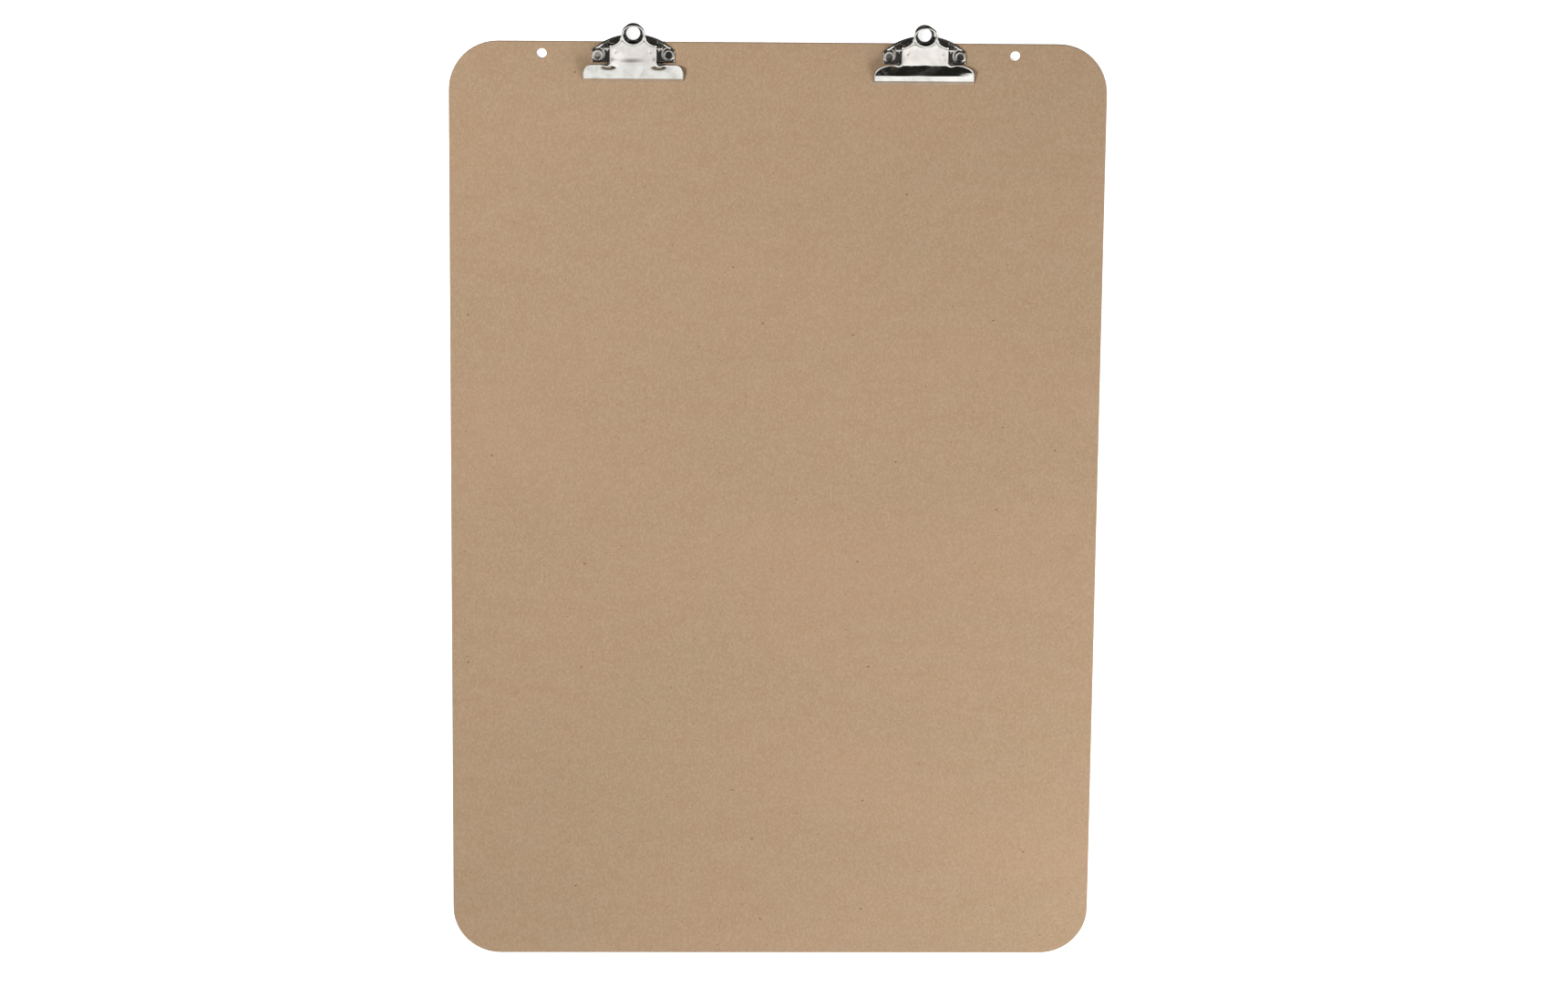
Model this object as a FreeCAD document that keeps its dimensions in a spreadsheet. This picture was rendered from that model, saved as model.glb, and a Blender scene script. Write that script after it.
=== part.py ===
"""Large hardboard clipboard with two butterfly clips, as a parametric document.

The board lies on its back: +Z points out of the writing face, +Y towards the clips, +X to the right,
and the origin is the centre of the board's back face. Each clip is drawn in its own frame: X from the
clip's centre line, Y from the board's top edge, Z from the writing face.
"""
import FreeCAD, Part
import math
import os

import Sketcher

# Driving dimensions, in millimetres and degrees.
DIMENSIONS = (
    ("board_width", 660.0),
    ("board_height", 950.0),
    ("board_thickness", 5.0),
    ("board_corner_radius", 49.0),
    ("board_edge_radius", 0.8),
    ("hanging_hole_radius", 5.0),
    ("hanging_hole_drop", 12.0),
    ("hanging_hole_spacing", 474.0),
    ("clip_offset", 145.7),
    ("metal", 1.0),
    ("base_width", 83.0),
    ("base_drop", 20.8),
    ("base_rise", 2.4),
    ("base_rim_radius", 1.1),
    ("base_corner_radius", 2.5),
    ("shoulder_radius", 62.5),
    ("shoulder_centre_drop", 54.6),
    ("tail_radius", 10.3),
    ("tail_centre", 8.7),
    ("tail_hole_radius", 6.6),
    ("lug_inside", 25.0),
    ("lug_thickness", 1.2),
    ("lug_radius", 4.0),
    ("lug_window_length", 10.0),
    ("pin_drop", 5.1),
    ("pin_rise", 9.5),
    ("pin_radius", 2.0),
    ("pin_running_gap", 0.05),
    ("pin_head_radius", 2.7),
    ("pin_head_length", 3.4),
    ("pin_head_rounding", 1.0),
    ("rivet_spacing", 71.3),
    ("rivet_drop", 12.4),
    ("rivet_radius", 2.0),
    ("rivet_bore_radius", 1.1),
    ("rivet_bore_depth", 3.6),
    ("rivet_head_radius", 5.5),
    ("rivet_head_height", 1.2),
    ("rivet_dish_radius", 3.9),
    ("rivet_dish_depth", 0.3),
    ("rivet_clench_radius", 3.4),
    ("rivet_clench_height", 0.4),
    ("rivet_seat_radius", 4.5),
    ("burr_radius", 6.0),
    ("burr_thickness", 0.8),
    ("counterbore_radius", 6.5),
    ("counterbore_depth", 1.5),
    ("jaw_width", 100.0),
    ("jaw_body_width", 46.8),
    ("jaw_end_radius", 10.0),
    ("jaw_waist_radius", 3.0),
    ("jaw_gap", 0.15),
    ("bend_drop", 3.5),
    ("bend_rise", 15.5),
    ("body_length", 19.7),
    ("body_slope", 12.0),
    ("flare_length", 15.8),
    ("lip_slope", 42.0),
    ("left_flare_slope", 28.0),
    ("right_flare_slope", 31.0),
    ("left_lever_slope", 24.0),
    ("right_lever_slope", 28.0),
    ("bend_radius", 4.0),
    ("fold_radius", 3.0),
    ("lever_ring_radius", 11.8),
    ("lever_hole_radius", 10.0),
    ("lever_ring_centre", 13.0),
    ("lever_flange_depth", 2.6),
    ("ear_radius", 4.3),
    ("ear_lean", 25.0),
    ("ear_front", 19.5),
    ("spring_wire_radius", 0.8),
    ("spring_pitch", 1.8),
    ("spring_turns", 6.0),
    ("spring_turn_overlap", 0.018),
    ("spring_bridge_half", 5.5),
    ("spring_bore_radius", 2.5),
    ("spring_lever_reach", 3.6),
    ("spring_lever_lift", 4.7),
    ("spring_base_reach", 7.6),
)

SIDES = (("left", -1), ("right", 1))
RIVET_SPOTS = (("outer", 1), ("inner", -1))


class Size:
    """A length or an angle: its value now, and the sheet expression that drives it."""

    def __init__(self, value, text):
        self.value = value
        self.text = text

    @staticmethod
    def of(number):
        """Give a plain number the form of a Size."""
        return number if isinstance(number, Size) else Size(float(number), repr(float(number)))

    def __add__(self, other):
        other = Size.of(other)
        return Size(self.value + other.value, f"({self.text} + {other.text})")

    def __sub__(self, other):
        other = Size.of(other)
        return Size(self.value - other.value, f"({self.text} - {other.text})")

    def __mul__(self, other):
        other = Size.of(other)
        return Size(self.value * other.value, f"({self.text} * {other.text})")

    def __truediv__(self, other):
        other = Size.of(other)
        return Size(self.value / other.value, f"({self.text} / {other.text})")

    def __neg__(self):
        return Size(-self.value, f"(-1 * {self.text})")

    __radd__ = __add__
    __rmul__ = __mul__

    def sin(self):
        return Size(math.sin(math.radians(self.value)), f"sin({self.text})")

    def cos(self):
        return Size(math.cos(math.radians(self.value)), f"cos({self.text})")

    def root(self):
        return Size(math.sqrt(self.value), f"sqrt({self.text})")


class Sheet:
    """The spreadsheet of driving dimensions: each alias is read as an attribute, as a Size."""

    def __init__(self, doc):
        cells = doc.addObject("Spreadsheet::Sheet", "Sheet")
        for row, (alias, number) in enumerate(DIMENSIONS, start=1):
            cells.set(f"A{row}", alias)
            cells.set(f"B{row}", str(number))
            cells.setAlias(f"B{row}", alias)
            setattr(self, alias, Size(number, f"Sheet.{alias}"))
        doc.recompute()


# Sketch helpers


def origin_plane(body, role):
    """Find one of a body's own origin planes or axes."""
    return next(item for item in body.Origin.OriginFeatures if item.Role == role)


def new_sketch(body, name, role, offset=0.0, base=None, tilt=None):
    """Sketch on one of the body's origin planes, lifted by offset, or moved to base and tilted about X."""
    sketch = body.newObject("Sketcher::SketchObject", name)
    sketch.AttachmentSupport = (origin_plane(body, role), [""])
    sketch.MapMode = "FlatFace"
    if base is None:
        sketch.setExpression("AttachmentOffset.Base.z", Size.of(offset).text)
        return sketch
    turn = FreeCAD.Rotation(FreeCAD.Vector(1, 0, 0), tilt.value)
    sketch.AttachmentOffset = FreeCAD.Placement(FreeCAD.Vector(0, 0, 0), turn)
    sketch.setExpression("AttachmentOffset.Base.y", base[0].text)
    sketch.setExpression("AttachmentOffset.Base.z", base[1].text)
    sketch.setExpression("AttachmentOffset.Rotation.Angle", tilt.text)
    return sketch


def drive(sketch, kind, size, *where):
    """Add a dimension to a sketch and bind it to the sheet."""
    row = sketch.addConstraint(Sketcher.Constraint(kind, *where, size.value))
    sketch.setExpression(f"Constraints[{row}]", size.text)


def tie(sketch, shape, end, place):
    """Hold one point of a sketch shape at a place given by two sizes."""
    for kind, axis, size in zip(("DistanceX", "DistanceY"), (-2, -1), place):
        size = Size.of(size)
        if abs(size.value) < 1e-9:
            sketch.addConstraint(Sketcher.Constraint("PointOnObject", shape, end, axis))
        else:
            drive(sketch, kind, size, -1, 1, shape, end)


def draw_circle(sketch, centre, radius):
    """Circle held at its centre."""
    middle = FreeCAD.Vector(Size.of(centre[0]).value, Size.of(centre[1]).value, 0)
    shape = sketch.addGeometry(Part.Circle(middle, FreeCAD.Vector(0, 0, 1), radius.value))
    drive(sketch, "Radius", radius, shape)
    tie(sketch, shape, 3, centre)


def arc_between(start, end, bulge):
    """Arc shorter than a half circle from start to end; it turns left where bulge is positive."""
    radius = abs(bulge)
    chord = end - start
    left = FreeCAD.Vector(-chord.y, chord.x, 0).normalize()
    depth = math.sqrt(max(radius**2 - (chord.Length / 2) ** 2, 0.0))
    centre = (start + end) / 2 + left * math.copysign(depth, bulge)
    first, last = (start, end) if bulge > 0 else (end, start)
    angles = [math.atan2(point.y - centre.y, point.x - centre.x) for point in (first, last)]
    circle = Part.Circle(centre, FreeCAD.Vector(0, 0, 1), radius)
    return Part.ArcOfCircle(circle, angles[0], angles[1])


def draw_outline(sketch, corners):
    """Closed outline. A corner is (x, y), or (x, y, bulge) where an arc of radius bulge follows it."""
    places = [(Size.of(corner[0]), Size.of(corner[1])) for corner in corners]
    points = [FreeCAD.Vector(x.value, y.value, 0) for x, y in places]
    ends = []
    for number, corner in enumerate(corners):
        start = points[number]
        end = points[(number + 1) % len(points)]
        if len(corner) == 3:
            shape = sketch.addGeometry(arc_between(start, end, corner[2].value))
            ends.append((shape, 1, 2) if corner[2].value > 0 else (shape, 2, 1))
        else:
            shape = sketch.addGeometry(Part.LineSegment(start, end))
            ends.append((shape, 1, 2))
    for number, (shape, _, last) in enumerate(ends):
        follower, first, _ = ends[(number + 1) % len(ends)]
        sketch.addConstraint(Sketcher.Constraint("Coincident", shape, last, follower, first))
    for (shape, first, _), place, corner in zip(ends, places, corners):
        tie(sketch, shape, first, place)
        if len(corner) == 3:
            radius = corner[2] if corner[2].value > 0 else -corner[2]
            drive(sketch, "Radius", radius, shape)


def backwards(corners):
    """The same outline walked the other way: each arc now follows the corner at its other end."""
    path = []
    for number in range(len(corners) - 1, -1, -1):
        x, y = (Size.of(part) for part in corners[number][:2])
        bulge = corners[number - 1][2:] if number > 0 else ()
        path.append((x, y, *(-part for part in bulge)))
    return path


def mirrored(corners):
    """Continue the right half of an outline, listed upwards, with its left half, listed downwards."""
    left = [(-x, y, *(-part for part in bulge)) for x, y, *bulge in backwards(corners)]
    if abs(left[0][0].value) > 1e-9:
        return [*corners, *left]
    return [*corners[:-1], (0, *left[0][1:]), *left[1:]]


# Feature helpers


def new_body(doc, name, place):
    """Body named after its node, placed in the object's frame by three sizes."""
    body = doc.addObject("PartDesign::Body", name)
    body.Label = name
    for letter, size in zip("xyz", place):
        body.setExpression(f"Placement.Base.{letter}", Size.of(size).text)
    return body


def pad(body, sketch, length, reverse=False, symmetric=False):
    """Add the sketch's area, drawn out by length."""
    feature = body.newObject("PartDesign::Pad", f"{sketch.Name}_pad")
    feature.Profile = sketch
    feature.setExpression("Length", length.text)
    feature.Reversed = reverse
    feature.SideType = "Symmetric" if symmetric else "One side"
    return finish_feature(body, feature)


def pocket(body, sketch, depth, reverse=False, symmetric=False):
    """Cut the sketch's area to a depth, and make sure that it removed something."""
    before = body.Shape.Volume
    feature = body.newObject("PartDesign::Pocket", f"{sketch.Name}_pocket")
    feature.Profile = sketch
    feature.setExpression("Length", depth.text)
    feature.Reversed = reverse
    feature.SideType = "Symmetric" if symmetric else "One side"
    finish_feature(body, feature)
    if body.Shape.Volume > before - 1e-3:
        raise RuntimeError(f"{feature.Name} cut nothing")
    return feature


def revolve(body, sketch, axis):
    """Turn the sketch once round one of the body's origin axes."""
    feature = body.newObject("PartDesign::Revolution", f"{sketch.Name}_turned")
    feature.Profile = sketch
    feature.ReferenceAxis = (origin_plane(body, axis), [""])
    feature.Angle = 360
    return finish_feature(body, feature)


def fillet(body, radius, chosen):
    """Round the edges of the body's present shape for which chosen(edge) holds."""
    base = body.Tip
    names = [f"Edge{n}" for n, edge in enumerate(base.Shape.Edges, start=1) if chosen(edge)]
    if not names:
        raise RuntimeError(f"no edge of {body.Name} to round")
    feature = body.newObject("PartDesign::Fillet", f"{body.Name}_rounding")
    feature.Base = (base, names)
    feature.setExpression("Radius", radius.text)
    return finish_feature(body, feature)


def finish_feature(body, feature):
    """Recompute, and stop at a feature that failed."""
    body.Document.recompute()
    if not feature.isValid() or body.Shape.isNull() or not body.Shape.isValid():
        raise RuntimeError(f"{feature.Name} failed: {feature.State}")
    return feature


def level(edge, height):
    """Say whether a whole edge lies at one height."""
    box = edge.BoundBox
    return abs(box.ZMin - height.value) < 1e-4 and abs(box.ZMax - height.value) < 1e-4


def upright_at(edge, distances):
    """Say whether an edge stands upright at one of these distances either side of the centre line."""
    box = edge.BoundBox
    return box.ZLength > 1.0 and any(abs(abs(box.XMin) - x) < 0.01 for x in distances)


def along_x(edge, place):
    """Say whether an edge runs along X through a place in the YZ plane."""
    box = edge.BoundBox
    near = abs(box.YMin - place[0].value) < 1e-3 and abs(box.ZMin - place[1].value) < 1e-3
    return near and box.XLength > 1.0 and box.YLength < 1e-4 and box.ZLength < 1e-4


# The board


def make_board(doc, s):
    """Hardboard sheet: round corners, eased edges, two hanging holes, counterbored rivet holes."""
    body = new_body(doc, "board", (0, 0, 0))
    half_width = s.board_width / 2
    half_height = s.board_height / 2
    outline = new_sketch(body, "board_outline", "XY_Plane")
    corners = ((half_width, -half_height), (half_width, half_height))
    draw_outline(outline, mirrored(corners))
    pad(body, outline, s.board_thickness)
    fillet(body, s.board_corner_radius, lambda edge: edge.BoundBox.ZLength > 1.0)
    bottom = Size.of(0)
    fillet(
        body,
        s.board_edge_radius,
        lambda edge: level(edge, bottom) or level(edge, s.board_thickness),
    )
    rivet_y = half_height - s.rivet_drop
    rivet_places = [
        (side * s.clip_offset + spot * s.rivet_spacing / 2, rivet_y)
        for _, side in SIDES
        for _, spot in RIVET_SPOTS
    ]
    holes = new_sketch(body, "board_holes", "XY_Plane")
    for _, side in SIDES:
        place = (side * s.hanging_hole_spacing / 2, half_height - s.hanging_hole_drop)
        draw_circle(holes, place, s.hanging_hole_radius)
    for place in rivet_places:
        draw_circle(holes, place, s.rivet_radius)
    pocket(body, holes, s.board_thickness * 3, symmetric=True)
    counterbores = new_sketch(body, "board_counterbores", "XY_Plane")
    for place in rivet_places:
        draw_circle(counterbores, place, s.counterbore_radius)
    pocket(body, counterbores, s.counterbore_depth, reverse=True)
    return body


# The clips


def clip_place(s, side, x=0, y=0, z=0):
    """Turn a place in a clip's frame into the object's frame."""
    return (side * s.clip_offset + x, s.board_height / 2 + y, s.board_thickness + z)


def base_half_outline(s, inset):
    """Right half of the base plate's outline, drawn in by inset."""
    side_x = s.base_width / 2 - inset
    shoulder = s.shoulder_radius - inset
    tail = s.tail_radius - inset
    reach = (shoulder * shoulder - side_x * side_x).root()
    # The ring and the shoulder's arc cross at this height above the shoulder's centre.
    apart = s.tail_centre + s.shoulder_centre_drop
    cross_y = (apart * apart + shoulder * shoulder - tail * tail) / (apart * 2)
    cross_x = (shoulder * shoulder - cross_y * cross_y).root()
    return (
        (side_x, inset - s.base_drop),
        (side_x, reach - s.shoulder_centre_drop, shoulder),
        (cross_x, cross_y - s.shoulder_centre_drop, tail),
        (tail, s.tail_centre, tail),
        (0, s.tail_centre + tail),
    )


def lug_outline(s):
    """Side view of a lug: upright sides and a round top about the pin."""
    front = -s.pin_drop - s.lug_radius
    back = s.lug_radius - s.pin_drop
    foot = s.base_rise - s.metal / 2
    return (
        (front, foot),
        (back, foot),
        (back, s.pin_rise, s.lug_radius),
        (-s.pin_drop, s.pin_rise + s.lug_radius, s.lug_radius),
        (front, s.pin_rise),
    )


def make_base_plate(doc, s, name, side):
    """Pressed plate: a shallow tray face down, a ringed tail, two upright lugs and two rivet seats."""
    body = new_body(doc, f"{name}_base_plate", clip_place(s, side))
    outline = new_sketch(body, "tray_outline", "XY_Plane")
    draw_outline(outline, mirrored(base_half_outline(s, Size.of(0))))
    pad(body, outline, s.base_rise)
    half = base_half_outline(s, Size.of(0))
    corner_xs = [half[number][0].value for number in (1, 2)]
    fillet(body, s.base_corner_radius, lambda edge: upright_at(edge, corner_xs))
    fillet(body, s.base_rim_radius, lambda edge: level(edge, s.base_rise))
    hollow = new_sketch(body, "tray_hollow", "XY_Plane")
    draw_outline(hollow, mirrored(base_half_outline(s, s.metal)))
    pocket(body, hollow, s.base_rise - s.metal, reverse=True)
    # Each lug is cut from the tray and bent up, which leaves a window on its inner side.
    window = new_sketch(body, "lug_windows", "XY_Plane")
    for _, hand in SIDES:
        inner = (s.lug_inside - s.lug_window_length) * hand
        outer = s.lug_inside * hand
        front = -s.pin_drop - s.lug_radius
        back = s.lug_radius - s.pin_drop
        draw_outline(window, ((inner, front), (outer, front), (outer, back), (inner, back)))
    pocket(body, window, s.base_rise * 3, symmetric=True)
    for word, hand in SIDES:
        near = s.lug_inside if hand > 0 else -s.lug_inside - s.lug_thickness
        lug = new_sketch(body, f"{word}_lug", "YZ_Plane", near)
        draw_outline(lug, lug_outline(s))
        pad(body, lug, s.lug_thickness)
    pin_hole = new_sketch(body, "pin_hole", "YZ_Plane")
    draw_circle(pin_hole, (-s.pin_drop, s.pin_rise), s.pin_radius)
    pocket(body, pin_hole, s.base_width, symmetric=True)
    seats = new_sketch(body, "rivet_seats", "XY_Plane")
    for _, spot in RIVET_SPOTS:
        draw_circle(seats, (spot * s.rivet_spacing / 2, -s.rivet_drop), s.rivet_seat_radius)
    pad(body, seats, s.base_rise - s.metal / 2)
    holes = new_sketch(body, "plate_holes", "XY_Plane")
    draw_circle(holes, (0, s.tail_centre), s.tail_hole_radius)
    for _, spot in RIVET_SPOTS:
        draw_circle(holes, (spot * s.rivet_spacing / 2, -s.rivet_drop), s.rivet_radius)
    pocket(body, holes, s.base_rise * 3, symmetric=True)
    return body


def step_along(place, length, slope, sign=1):
    """Place reached from another by going a length along a slope, in the YZ plane."""
    return (place[0] + length * slope.cos() * sign, place[1] + length * slope.sin() * sign)


def under(place, depth, slope_before, slope_after):
    """Place at a depth under a bend of the sheet, on the bend's bisector."""
    mean = (slope_before + slope_after) / 2
    reach = depth / ((slope_after - slope_before) / 2).cos()
    return (place[0] + reach * mean.sin(), place[1] - reach * mean.cos())


def jaw_profile(s, flare_slope, lever_slope):
    """Side view of the jaw plate's sheet, from the lip's edge to just past the lever's bend."""
    bend = (-s.bend_drop, s.bend_rise)
    crease = step_along(bend, s.body_length, s.body_slope, -1)
    fold = step_along(crease, s.flare_length, flare_slope, -1)
    lip_length = (fold[1] - s.jaw_gap) / s.lip_slope.sin()
    edge = step_along(fold, lip_length, s.lip_slope, -1)
    edge_under = (edge[0] + s.metal / s.lip_slope.sin(), edge[1])
    end = step_along(bend, s.metal * 2, lever_slope)
    top = (edge, fold, crease, bend, end)
    bottom = (
        edge_under,
        under(fold, s.metal, s.lip_slope, flare_slope),
        under(crease, s.metal, flare_slope, s.body_slope),
        under(bend, s.metal, s.body_slope, lever_slope),
        under(end, s.metal, lever_slope, lever_slope),
    )
    return top, bottom


def jaw_half_outline(s, edge, crease):
    """Right half of the jaw plate's top view: lip, rounded end, waist corner and body."""
    half = s.jaw_width / 2
    body = s.jaw_body_width / 2
    end_y = crease[0] - s.jaw_end_radius
    waist = s.jaw_waist_radius
    return (
        (half, edge[0] - s.metal),
        (half, end_y, s.jaw_end_radius),
        (half - s.jaw_end_radius, crease[0]),
        (body + waist, crease[0], -waist),
        (body, crease[0] + waist),
        (body, s.metal * 4),
    )


def lever_half_outline(s, inset):
    """Right half of the lever in its own plane: horn, hollow shoulder and ring, drawn in by inset.

    The shoulder's arc and the ring have their centres level, so they meet upright, halfway between.
    """
    body = s.jaw_body_width / 2 - inset
    ring = s.lever_ring_radius - inset
    shoulder = s.jaw_body_width / 2 - s.lever_ring_radius + inset
    centre_x = s.jaw_body_width / 2
    horn_y = s.lever_ring_centre - (shoulder * shoulder - inset * inset).root()
    return (
        (body, horn_y, -shoulder),
        (centre_x - shoulder, s.lever_ring_centre, ring),
        (0, s.lever_ring_centre + ring),
    )


def make_jaw_plate(doc, s, name, side):
    """Pressed jaw: wide flared lip, sloping body, ears for the pin, and a ringed lever."""
    flare_slope = getattr(s, f"{name}_flare_slope")
    lever_slope = getattr(s, f"{name}_lever_slope")
    body = new_body(doc, f"{name}_jaw_plate", clip_place(s, side))
    top, bottom = jaw_profile(s, flare_slope, lever_slope)
    edge, fold, crease, bend, end = top
    profile = new_sketch(body, "sheet_profile", "YZ_Plane")
    draw_outline(profile, top + bottom[::-1])
    pad(body, profile, s.jaw_width, symmetric=True)
    folds = (crease, fold, bottom[1], bottom[2])
    fillet(body, s.bend_radius, lambda e: any(along_x(e, place) for place in folds))
    trim = new_sketch(body, "jaw_trim", "XY_Plane", s.bend_rise * 2)
    reach = s.jaw_width
    draw_outline(trim, ((reach, -reach), (reach, reach), (-reach, reach), (-reach, -reach)))
    draw_outline(trim, mirrored(jaw_half_outline(s, edge, crease)))
    pocket(body, trim, s.bend_rise * 3)
    lever = new_sketch(body, "lever_outline", "XY_Plane", base=bend, tilt=lever_slope)
    outer = lever_half_outline(s, Size.of(0))
    draw_outline(lever, mirrored(((outer[0][0], s.metal / 2), *outer)))
    pad(body, lever, s.metal, reverse=True)
    # The lever's edge is turned down all the way from horn to horn.
    rim = new_sketch(body, "lever_rim", "XY_Plane", base=bend, tilt=lever_slope)
    inner = lever_half_outline(s, s.metal)
    draw_outline(rim, mirrored(outer) + backwards(mirrored(inner)))
    pad(body, rim, s.lever_flange_depth, reverse=True)
    hole = new_sketch(body, "lever_hole", "XY_Plane", base=bend, tilt=lever_slope)
    draw_circle(hole, (0, s.lever_ring_centre), s.lever_hole_radius)
    pocket(body, hole, s.bend_rise, symmetric=True)
    ear_front = step_along(bend, s.ear_front - s.bend_drop, s.body_slope, -1)
    ear_top_front = under(ear_front, s.metal / 2, s.body_slope, s.body_slope)
    ear_top_back = under(bend, s.metal / 2, s.body_slope, lever_slope)
    pin = (-s.pin_drop, s.pin_rise)
    touch = (pin[0] - s.ear_radius * s.ear_lean.sin(), pin[1] - s.ear_radius * s.ear_lean.cos())
    ear_outline = (
        ear_top_front,
        (*touch, s.ear_radius),
        (pin[0], pin[1] - s.ear_radius, s.ear_radius),
        (pin[0] + s.ear_radius, pin[1]),
        ear_top_back,
    )
    for word, hand in SIDES:
        near = s.jaw_body_width / 2 - s.metal if hand > 0 else -s.jaw_body_width / 2
        ear = new_sketch(body, f"{word}_ear", "YZ_Plane", near)
        draw_outline(ear, ear_outline)
        pad(body, ear, s.metal)
    bore = new_sketch(body, "ear_bore", "YZ_Plane")
    draw_circle(bore, pin, s.pin_radius + s.pin_running_gap)
    pocket(body, bore, s.jaw_width, symmetric=True)
    return body


def make_pin(doc, s, name, side):
    """Hinge pin with a rounded head staked outside each lug."""
    body = new_body(doc, f"{name}_hinge_pin", clip_place(s, side, y=-s.pin_drop, z=s.pin_rise))
    shank = s.lug_inside + s.lug_thickness
    tip = shank + s.pin_head_length
    rounding = s.pin_head_rounding
    profile = new_sketch(body, "pin_profile", "XY_Plane")
    half = (
        (shank, s.pin_radius),
        (shank, s.pin_head_radius),
        (tip - rounding, s.pin_head_radius, -rounding),
        (tip, s.pin_head_radius - rounding),
        (tip, 0),
    )
    left = [(-x, y) for x, y, *_ in reversed(half)]
    left[1] = (-tip, s.pin_head_radius - rounding, -rounding)
    draw_outline(profile, tuple(left) + half)
    revolve(body, profile, "X_Axis")
    return body


def make_rivet(doc, s, node, side, spot):
    """Tubular rivet: dished round head, shank through plate and board, tail clenched on its burr."""
    place = clip_place(s, side, x=spot * s.rivet_spacing / 2, y=-s.rivet_drop)
    body = new_body(doc, node, place)
    head_top = s.base_rise + s.rivet_head_height
    clench_top = s.counterbore_depth - s.board_thickness - s.burr_thickness
    tail = clench_top - s.rivet_clench_height
    dish = head_top - s.rivet_dish_depth
    rounding = s.rivet_head_height / 2
    profile = new_sketch(body, "rivet_profile", "XZ_Plane")
    draw_outline(
        profile,
        (
            (0, dish),
            (0, tail + s.rivet_bore_depth),
            (s.rivet_bore_radius, tail + s.rivet_bore_depth),
            (s.rivet_bore_radius, tail),
            (s.rivet_clench_radius, tail),
            (s.rivet_clench_radius, clench_top),
            (s.rivet_radius, clench_top),
            (s.rivet_radius, s.base_rise),
            (s.rivet_head_radius, s.base_rise),
            (s.rivet_head_radius, head_top - rounding, rounding),
            (s.rivet_head_radius - rounding, head_top),
            (s.rivet_dish_radius + s.rivet_dish_depth, head_top),
            (s.rivet_dish_radius, dish),
        ),
    )
    revolve(body, profile, "Z_Axis")
    return body


def make_burr(doc, s, node, side, spot):
    """Flat washer under a rivet's clenched tail, sunk into the board's back."""
    x = spot * s.rivet_spacing / 2
    z = s.counterbore_depth - s.board_thickness
    body = new_body(doc, node, clip_place(s, side, x=x, y=-s.rivet_drop, z=z))
    ring = new_sketch(body, "burr_outline", "XY_Plane")
    draw_circle(ring, (0, 0), s.burr_radius)
    draw_circle(ring, (0, 0), s.rivet_radius)
    pad(body, ring, s.burr_thickness, reverse=True)
    return body


def primitive(doc, kind, name, start, heading, **sizes):
    """Part primitive at a start point, its own Z axis turned to a heading, sizes bound to the sheet."""
    item = doc.addObject(f"Part::{kind}", name)
    item.Placement = FreeCAD.Placement(start, FreeCAD.Rotation(FreeCAD.Vector(0, 0, 1), heading))
    for size_name, size in sizes.items():
        item.setExpression(size_name, Size.of(size).text)
    return item


def tangent_start(reach, lift, radius, sign):
    """Point where a straight leg to (reach, lift) leaves the coil, over its top or under its bottom."""
    heading = math.atan2(lift, reach)
    swing = math.acos(radius / math.hypot(reach, lift))
    angle = heading + sign * swing
    return radius * math.cos(angle), radius * math.sin(angle)


def make_spring(doc, s, name, side):
    """Double torsion spring: two groups of turns on the pin, a bridge under the lever, two base legs.

    Each turn is a closed ring that just merges with its neighbours.
    """
    node = f"{name}_torsion_spring"
    wire = s.spring_wire_radius
    turn_radius = s.spring_bore_radius + wire
    lever_y, lever_z = s.spring_lever_reach.value, s.spring_lever_lift.value
    base_y = s.spring_base_reach.value
    base_z = (s.base_rise + wire - s.pin_rise).value
    over = tangent_start(lever_y, lever_z, turn_radius.value, 1)
    below = tangent_start(base_y, base_z, turn_radius.value, -1)
    along = FreeCAD.Vector(1, 0, 0)
    first = s.spring_bridge_half + wire
    last = first + s.spring_pitch * (s.spring_turns - 1)
    bridge_start = FreeCAD.Vector(-first.value, lever_y, lever_z)
    pieces = [
        primitive(doc, "Cylinder", f"{node}_bridge", bridge_start, along, Radius=wire, Height=first * 2)
    ]
    for word, hand in SIDES:
        for turn in range(int(s.spring_turns.value)):
            middle = FreeCAD.Vector(hand * (first + s.spring_pitch * turn).value, 0, 0)
            turn_name = f"{node}_{word}_turn"
            wide = s.spring_pitch / 2 + s.spring_turn_overlap
            ring = primitive(doc, "Torus", turn_name, middle, along, Radius1=turn_radius, Radius2=wide)
            pieces.append(ring)
        for leg, x, foot, tip in (
            ("lever_leg", first.value, over, (lever_y, lever_z)),
            ("base_leg", last.value, below, (base_y, base_z)),
        ):
            start = FreeCAD.Vector(hand * x, *foot)
            end = FreeCAD.Vector(hand * x, *tip)
            run = end - start
            leg_name = f"{node}_{word}_{leg}"
            pieces.append(
                primitive(doc, "Cylinder", leg_name, start, run, Radius=wire, Height=run.Length)
            )
            pieces.append(primitive(doc, "Sphere", f"{leg_name}_tip", end, along, Radius=wire))
    spring = doc.addObject("Part::MultiFuse", node)
    spring.Label = node
    spring.Shapes = pieces
    place = clip_place(s, side, y=-s.pin_drop, z=s.pin_rise)
    for letter, size in zip("xyz", place):
        spring.setExpression(f"Placement.Base.{letter}", size.text)
    doc.recompute()
    return spring


def make_clip(doc, s, name, side):
    """One whole butterfly clip: plate, jaw, pin, spring, and its rivets with their burrs."""
    pieces = [
        make_base_plate(doc, s, name, side),
        make_jaw_plate(doc, s, name, side),
        make_pin(doc, s, name, side),
        make_spring(doc, s, name, side),
    ]
    for word, spot in RIVET_SPOTS:
        pieces.append(make_rivet(doc, s, f"{name}_rivet_{word}", side, spot * side))
        pieces.append(make_burr(doc, s, f"{name}_burr_{word}", side, spot * side))
    return pieces


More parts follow.
